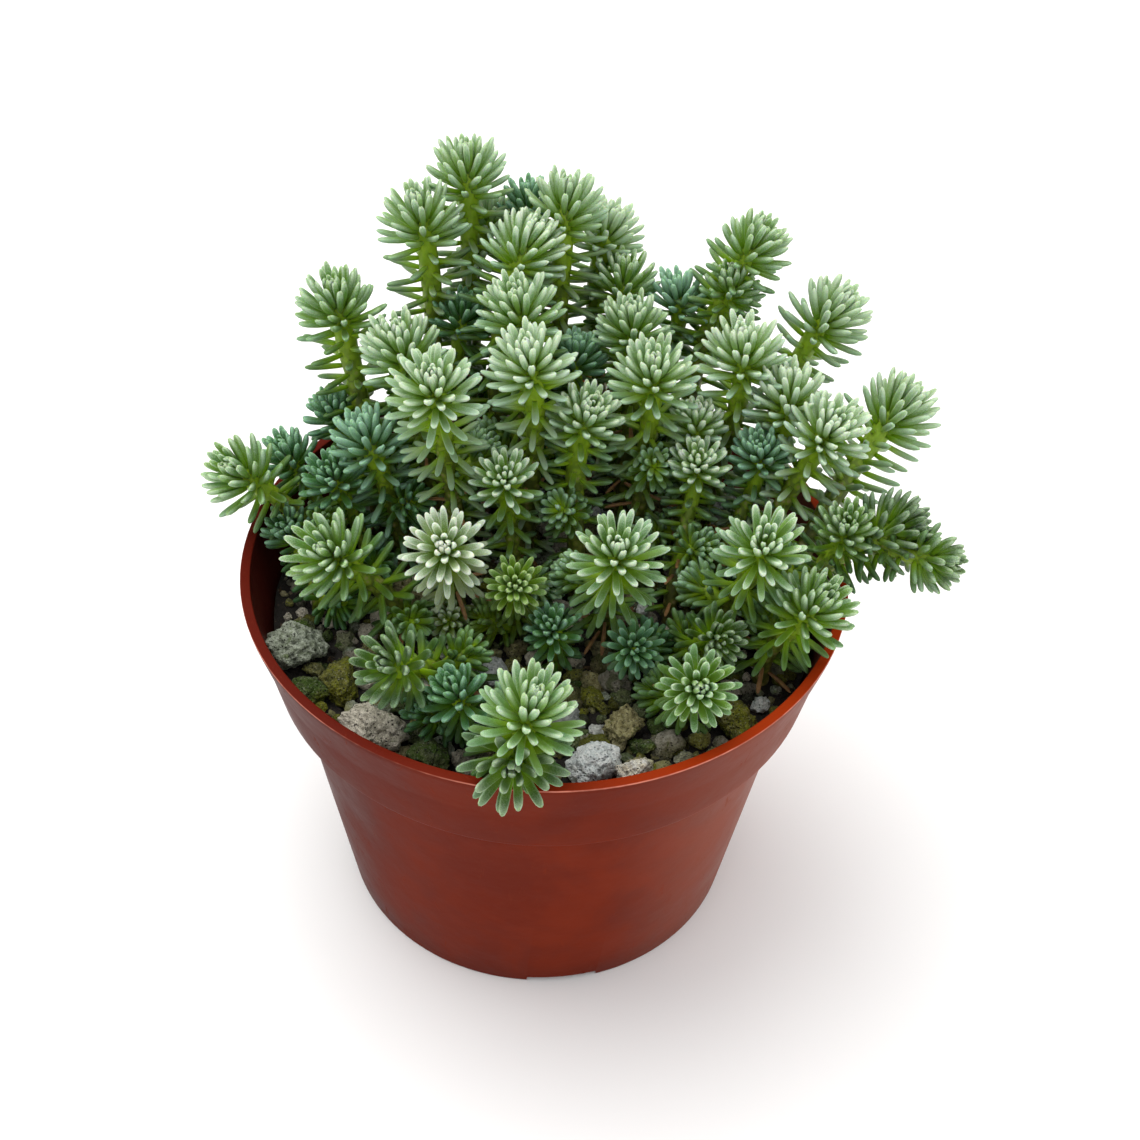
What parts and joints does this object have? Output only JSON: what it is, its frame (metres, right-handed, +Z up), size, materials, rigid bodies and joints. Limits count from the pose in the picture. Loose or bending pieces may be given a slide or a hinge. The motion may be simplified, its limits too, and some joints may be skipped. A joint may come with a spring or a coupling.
{
  "type": "potted stonecrop succulent",
  "caption": "Clump of upright leafy succulent stems with frosted rosette tips in a small round tapered plastic nursery pot with a collar and stony potting mix.",
  "frame": {"origin": "middle of the pot's flat underside, on the surface that it stands on", "axes": "+Z up along the pot's axis; -Y is the front, towards the camera of the picture; +X to the right as seen from the front"},
  "size_m": [0.1099, 0.0997, 0.1072],
  "materials": {
    "pot": "red-brown thin moulded plastic, slightly scuffed, satin to glossy",
    "soil": "dark damp gritty potting mix",
    "leaf_green": "fleshy green leaves with pale frosted edges",
    "leaf_frosted": "fleshy grey-green leaves with heavily frosted edges and tips",
    "leaf_white": "fleshy leaves frosted nearly white",
    "leaf_blue": "fleshy dark blue-green young leaves",
    "leaf_yellow": "fleshy yellow-green leaves",
    "stone_grey": "rough grey pumice",
    "stone_speckled": "rough pale pumice with dark specks",
    "stone_pale": "rough white-grey pumice",
    "stone_cream": "rough cream-white stone",
    "stone_tan": "rough tan speckled stone",
    "stone_olive": "rough stone with an olive film of algae",
    "stone_moss": "rough stone with a thin green moss film"
  },
  "bodies": {
    "root": {"pot": "pot", "potting_mix": "soil", "stone_pumice_left": "stone_grey", "stone_pumice_front_left": "stone_speckled", "stone_pumice_front": "stone_pale", "stone_cream_front": "stone_cream", "stone_tan_front": "stone_tan", "stone_olive_right": "stone_olive", "stone_olive_left": "stone_olive", "stone_mossy_front": "stone_moss", "stone_green_left": "stone_moss", "stone_grey_middle": "stone_grey", "stem_back_1": "leaf_green", "stem_back_2": "leaf_green", "stem_back_3": "leaf_green", "stem_back_4": "leaf_blue", "stem_back_5": "leaf_green", "stem_back_6": "leaf_frosted", "stem_back_7": "leaf_green", "stem_back_8": "leaf_green", "stem_back_9": "leaf_blue", "stem_back_10": "leaf_blue", "stem_middle_1": "leaf_green", "stem_middle_2": "leaf_frosted", "stem_middle_3": "leaf_frosted", "stem_middle_4": "leaf_green", "stem_middle_5": "leaf_frosted", "stem_middle_6": "leaf_frosted", "stem_middle_7": "leaf_frosted", "stem_middle_8": "leaf_frosted", "stem_middle_9": "leaf_frosted", "stem_middle_10": "leaf_frosted", "stem_middle_11": "leaf_blue", "stem_right_1": "leaf_frosted", "stem_right_2": "leaf_frosted", "stem_right_3": "leaf_green", "stem_right_4": "leaf_frosted", "stem_right_5": "leaf_frosted", "stem_right_6": "leaf_blue", "stem_right_7": "leaf_green", "stem_left_1": "leaf_green", "stem_left_2": "leaf_blue", "stem_left_3": "leaf_blue", "stem_left_4": "leaf_blue", "stem_left_5": "leaf_blue", "stem_left_6": "leaf_blue", "stem_left_7": "leaf_green", "stem_front_1": "leaf_frosted", "stem_front_2": "leaf_white", "stem_front_3": "leaf_yellow", "stem_front_4": "leaf_frosted", "stem_front_5": "leaf_blue", "stem_front_6": "leaf_blue", "stem_front_7": "leaf_frosted", "stem_front_8": "leaf_green", "stem_front_9": "leaf_green", "stem_front_10": "leaf_green", "stem_front_11": "leaf_frosted", "stem_front_12": "leaf_blue", "stem_front_13": "leaf_green"}
  },
  "joints": []
}
